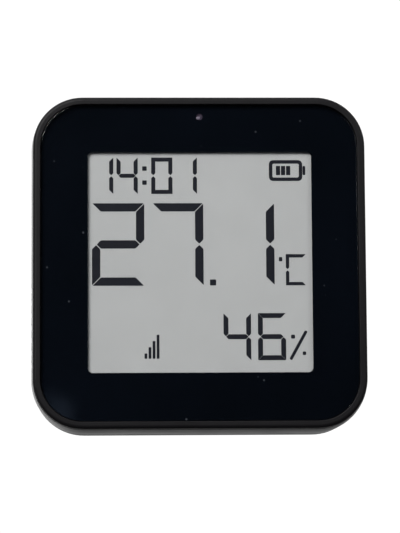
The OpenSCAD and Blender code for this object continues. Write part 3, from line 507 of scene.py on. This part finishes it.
def draw_time(bm):
    for sign, right in TIME_RIGHTS:
        seven_segments(bm, sign, (right - TIME_WIDTH, right), TIME_ROWS, TIME_PEN)
    for low in COLON_LOWS:
        block(bm, COLON_COLUMNS, (low, low + COLON_HEIGHT), DOT_RADIUS)


def draw_temperature(bm):
    for sign, columns in LARGE_SIGNS:
        seven_segments(bm, sign, columns, LARGE_ROWS, LARGE_PEN)
    block(bm, *POINT, DOT_RADIUS)


def draw_unit(bm):
    block(bm, *DEGREE, DOT_RADIUS)
    seven_segments(bm, "C", *UNIT, UNIT_PEN)


def draw_humidity(bm):
    for sign, columns in SMALL_SIGNS:
        seven_segments(bm, sign, columns, SMALL_ROWS, SMALL_PEN)
    low, high = (Vector(end) for end in PERCENT_ENDS)
    side = (high - low).orthogonal().normalized() * PERCENT_HALF
    along = (high - low).normalized() * PERCENT_HALF
    bar = [low - along - side, high + along - side, high + along + side, low - along + side]
    ink_outline(bm, rounded(bar, PERCENT_ROUND, PERCENT_STEPS))
    for columns, rows in PERCENT_DOTS:
        block(bm, columns, rows, SMALL_ROUND)


def draw_battery(bm):
    outer, inner = (
        rounded(box_corners(*edges), radius, SMOOTH_STEPS)
        for edges, radius in zip((BATTERY_OUTER, BATTERY_INNER), BATTERY_ROUND)
    )
    ink_ring(bm, outer, inner)
    block(bm, *BATTERY_NUB, SMALL_ROUND)
    for left in CHARGE_LEFTS:
        block(bm, (left, left + CHARGE_WIDTH), CHARGE_ROWS, CHARGE_ROUND)


def draw_signal(bm):
    low, high = SIGNAL_ROWS
    for i in range(SIGNAL_COUNT):
        left = SIGNAL_LEFT + SIGNAL_PITCH * i
        block(bm, (left, left + SIGNAL_WIDTH), (low, high + SIGNAL_STEP * i), SIGNAL_ROUND)


ink_mat = ink()


def marks(name, draw):
    bm = bmesh.new()
    draw(bm)
    finish_piece(bm, name, ink_mat, "body")


marks("ink_time", draw_time)
marks("ink_temperature", draw_temperature)
marks("ink_unit", draw_unit)
marks("ink_humidity", draw_humidity)
marks("ink_battery", draw_battery)
marks("ink_signal", draw_signal)


# Status light: a painted highlight on the left of the pipe's end and a dimmer patch to its right, in mm
# from the pipe's axis

PIPE_LOW, PIPE_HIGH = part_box("light_pipe")
LED_X = (PIPE_LOW.x + PIPE_HIGH.x) / 2 / MM
LED_Z = (PIPE_LOW.z + PIPE_HIGH.z) / 2 / MM
PIPE_FACE = PIPE_LOW.y / MM
DROP_SIDES = 24

# Rings of a drop from its foot to its top: share of the half sizes and of the rise
DROP_RINGS = ((1.0, -0.01), (1.0, 0.2), (0.86, 0.6), (0.6, 0.88), (0.3, 0.98))


def add_drop(name, mat, centre, half, turn, rise):
    """Low lens-shaped drop on the end of the light pipe."""
    bm = bmesh.new()
    tip = math.radians(turn)
    rings = []
    for share, height in DROP_RINGS:
        outline = []
        for k in range(DROP_SIDES):
            angle = 2 * math.pi * k / DROP_SIDES
            across = half[0] * share * math.cos(angle)
            up = half[1] * share * math.sin(angle)
            x = LED_X + centre[0] + across * math.cos(tip) - up * math.sin(tip)
            z = LED_Z + centre[1] + across * math.sin(tip) + up * math.cos(tip)
            outline.append((x, z))
        rings.append(ring_at(bm, outline, PIPE_FACE - rise * height))
    for first, second in zip(rings, rings[1:]):
        join_rings(bm, first, second)
    bm.faces.new(rings[0])
    bm.faces.new(rings[-1])
    finish_piece(bm, name, mat, "body")


# Two coloured drops on the unlit pipe: the pale one at the left is a painted highlight, the other a
# dimmer patch a little paler than the pipe
dim_patch_mat = moulded("dim_patch_resin", linear(62, 54, 70), 0.3)
painted_highlight_mat = moulded("painted_highlight_resin", linear(128, 119, 134), 0.3)
add_drop("led_dim_patch", dim_patch_mat, (0.26, -0.14), (0.36, 0.54), 0.0, 0.02)
add_drop("led_painted_highlight", painted_highlight_mat, (-0.26, -0.22), (0.46, 0.3), 14.0, 0.035)


# Cells: column and depth of the axis, height of the flat end, and way to the nub

CELL_RADIUS = 7.15
CELL_WAYS = (("cell_1", 1), ("cell_2", -1), ("cell_3", 1), ("cell_4", -1))


def cell_place(name, way):
    low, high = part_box(name)
    column = high.x / MM - CELL_RADIUS
    depth = (low.y + high.y) / 2 / MM
    flat = (low.z if way > 0 else high.z) / MM
    return column, depth, flat


# Smooth spring wire in place of the faceted solids, in mm

SPRING_WIRE = 0.3
SPRING_TURNS = 2.75
SPRING_RADII = (3.9, 2.1)
SPRING_RISE = (0.3, 2.9)
SPRING_SEAT = 3.3
SPRING_SIDES = 10
SPRING_STEPS = 88


def spring_tube(bm, column, depth, flat, way):
    """Conical spring from its seat to a cell's flat end."""
    seat = flat - way * SPRING_SEAT
    rings = []
    for i in range(SPRING_STEPS + 1):
        share = i / SPRING_STEPS
        angle = 2 * math.pi * SPRING_TURNS * share
        radius = SPRING_RADII[0] + (SPRING_RADII[1] - SPRING_RADII[0]) * share
        rise = SPRING_RISE[0] + (SPRING_RISE[1] - SPRING_RISE[0]) * share
        ring = []
        for k in range(SPRING_SIDES):
            turn = 2 * math.pi * k / SPRING_SIDES
            reach = radius + SPRING_WIRE * math.cos(turn)
            up = rise + SPRING_WIRE * math.sin(turn)
            ring.append(bm.verts.new((
                (column + reach * math.cos(angle)) * MM,
                (depth + way * reach * math.sin(angle)) * MM,
                (seat + way * up) * MM,
            )))
        rings.append(ring)
    for first, second in zip(rings, rings[1:]):
        join_rings(bm, first, second)
    bm.faces.new(rings[0])
    bm.faces.new(rings[-1])


def add_springs():
    bm = bmesh.new()
    for cell, way in CELL_WAYS:
        spring_tube(bm, *cell_place(cell, way), way)
    for face in bm.faces:
        face.smooth = len(face.verts) == 4
    mat = metal("spring_steel", (0.62, 0.62, 0.63, 1.0), 0.24)
    springs = finish_piece(bm, "spring_wires", mat, "body")
    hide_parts("contact_springs")


add_springs()


# Film sleeves round the cells, shrunk over both ends: radius and distance from the flat end in mm

SLEEVE = ((6.1, 0.0), (6.6, -0.02), (6.95, 0.08), (7.13, 0.36), (7.18, 0.75), (7.18, 48.0),
          (7.1, 48.5), (6.85, 48.85), (6.4, 49.05), (5.7, 49.13))
SLEEVE_WALL = 0.04
SLEEVE_SIDES = 64
SLEEVE_COLOUR = linear(38, 52, 66)

# Where the film turns pale, from the flat end
SLEEVE_BAND = (34.9, 35.3)


def sleeve_film(name, cell, way):
    flat = cell_place(cell, way)[2]
    return film(name, SLEEVE_COLOUR, [flat + way * along for along in SLEEVE_BAND])


def add_sleeve(name, cell, way, mat):
    bm = bmesh.new()
    column, depth, flat = cell_place(cell, way)
    profile = SLEEVE + tuple((radius - SLEEVE_WALL, along) for radius, along in reversed(SLEEVE))
    rings = []
    for radius, along in profile:
        ring = []
        for k in range(SLEEVE_SIDES):
            angle = 2 * math.pi * k / SLEEVE_SIDES
            ring.append(bm.verts.new((
                (column + radius * math.cos(angle)) * MM,
                (depth + radius * math.sin(angle)) * MM,
                (flat + way * along) * MM,
            )))
        rings.append(ring)
    for n, ring in enumerate(rings):
        join_rings(bm, ring, rings[(n + 1) % len(rings)])
    for face in bm.faces:
        face.smooth = True
    finish_piece(bm, name, mat, "body")


film_up = sleeve_film("sleeve_film_up", "cell_1", 1)
film_down = sleeve_film("sleeve_film_down", "cell_2", -1)
for number, (cell, way) in enumerate(CELL_WAYS, 1):
    add_sleeve(f"cell_sleeve_{number}", cell, way, film_up if way > 0 else film_down)


# Gold fingers on both faces of the power socket's tongue, in mm

PORT_LOW, PORT_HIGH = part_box("usb_shell")
PORT_Y = (PORT_LOW.y + PORT_HIGH.y) / 2 / MM
PORT_Z = (PORT_LOW.z + PORT_HIGH.z) / 2 / MM
TONGUE_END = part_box("usb_tongue")[1].x / MM
TONGUE_HALF = 0.35
FINGER_COUNT = 12
FINGER_PITCH = 0.5
FINGER_HALF = 0.13
FINGER_INSET = 0.3
FINGER_LENGTH = 4.5
FINGER_ROUND = 0.1
FINGER_SUNK = 0.01
FINGER_PROUD = 0.03


def add_fingers():
    bm = bmesh.new()
    end = TONGUE_END - FINGER_INSET
    for way in (-1, 1):
        face = PORT_Y + way * TONGUE_HALF
        for i in range(FINGER_COUNT):
            z = PORT_Z + FINGER_PITCH * (i - (FINGER_COUNT - 1) / 2)
            corners = box_corners((end - FINGER_LENGTH, end), (z - FINGER_HALF, z + FINGER_HALF))
            outline = rounded(corners, FINGER_ROUND)
            add_prism(bm, outline, face - way * FINGER_SUNK, face + way * FINGER_PROUD)
    gold = metal("finger_gold", (0.83, 0.6, 0.28, 1.0), 0.25)
    finish_piece(bm, "port_fingers", gold, "body")


add_fingers()


# Stage, light and camera


def add_floor():
    mat, tree, shader = new_material("floor_pale")
    shader.inputs["Base Color"].default_value = (0.86, 0.86, 0.86, 1.0)
    shader.inputs["Roughness"].default_value = 0.9
    mesh = bpy.data.meshes.new("floor")
    corners = box_corners((-FLOOR_HALF, FLOOR_HALF), (-FLOOR_HALF, FLOOR_HALF))
    mesh.from_pydata([(x, y, FLOOR_Z) for x, y in corners], [], [(0, 1, 2, 3)])
    mesh.materials.append(mat)
    floor = bpy.data.objects.new("floor", mesh)
    bpy.context.scene.collection.objects.link(floor)
    floor.visible_diffuse = False
    floor.visible_glossy = False


def add_softbox(name, at, size, power):
    light = bpy.data.lights.new(name, "AREA")
    light.shape = "RECTANGLE"
    light.size, light.size_y = size
    light.energy = power
    lamp = bpy.data.objects.new(name, light)
    bpy.context.scene.collection.objects.link(lamp)
    lamp.location = at
    aim = Vector(LIGHT_AIM) - Vector(at)
    lamp.rotation_euler = aim.to_track_quat("-Z", "Y").to_euler()
    lamp.visible_camera = False


def add_world():
    """White to the camera; to all else a dim studio, dark in front and bright behind."""
    world = bpy.data.worlds.new("studio")
    bpy.context.scene.world = world
    world.use_nodes = True
    tree = world.node_tree
    tree.nodes.clear()
    out = tree.nodes.new("ShaderNodeOutputWorld")
    seen = tree.nodes.new("ShaderNodeBackground")
    seen.inputs["Color"].default_value = (1.0, 1.0, 1.0, 1.0)
    seen.inputs["Strength"].default_value = SEEN_WHITE
    studio = tree.nodes.new("ShaderNodeBackground")
    direction = tree.nodes.new("ShaderNodeTexCoord").outputs["Generated"]
    split = tree.nodes.new("ShaderNodeSeparateXYZ")
    tree.links.new(direction, split.inputs["Vector"])
    away = tree.nodes.new("ShaderNodeVectorMath")
    away.operation = "DISTANCE"
    tree.links.new(direction, away.inputs[0])
    away.inputs[1].default_value = GLOW_WAY
    haze = remap(tree, away.outputs["Value"], 1.0, 0.0, *GLOW_REACH, smooth=True)
    front = blend_colours(tree, haze, FRONT_DARK, GLOW_COLOUR)
    sideways = remap(tree, split.outputs["Y"], 0.0, 1.0, -0.96, -0.6, smooth=True)
    room = blend_colours(tree, sideways, front, SIDE_DIM)
    leftward = remap(tree, split.outputs["X"], 0.0, 1.0, -0.02, -0.2, smooth=True)
    backdrop = blend_colours(tree, leftward, BACKDROP, BACKDROP_LEFT)
    rear = remap(tree, split.outputs["Y"], 0.0, 1.0, 0.2, 0.9, smooth=True)
    raised = remap(tree, split.outputs["Z"], 0.25, 1.0, -0.48, 0.15, smooth=True)
    whole = blend_colours(tree, calc(tree, "MULTIPLY", rear, raised), room, backdrop)
    tree.links.new(whole, studio.inputs["Color"])
    mix = tree.nodes.new("ShaderNodeMixShader")
    camera_ray = tree.nodes.new("ShaderNodeLightPath").outputs["Is Camera Ray"]
    tree.links.new(camera_ray, mix.inputs["Fac"])
    tree.links.new(studio.outputs["Background"], mix.inputs[1])
    tree.links.new(seen.outputs["Background"], mix.inputs[2])
    tree.links.new(mix.outputs["Shader"], out.inputs["Surface"])


def add_camera():
    data = bpy.data.cameras.new("camera")
    data.lens = CAMERA_LENS
    data.sensor_width = CAMERA_SENSOR
    data.clip_start = 0.01
    camera = bpy.data.objects.new("camera", data)
    bpy.context.scene.collection.objects.link(camera)
    camera.location = CAMERA_AT
    camera.rotation_euler = [math.radians(a) for a in CAMERA_TURN]
    bpy.context.scene.camera = camera


add_floor()
add_world()
for box in SOFTBOXES:
    add_softbox(*box)
add_camera()
bpy.context.scene.view_settings.view_transform = "Standard"
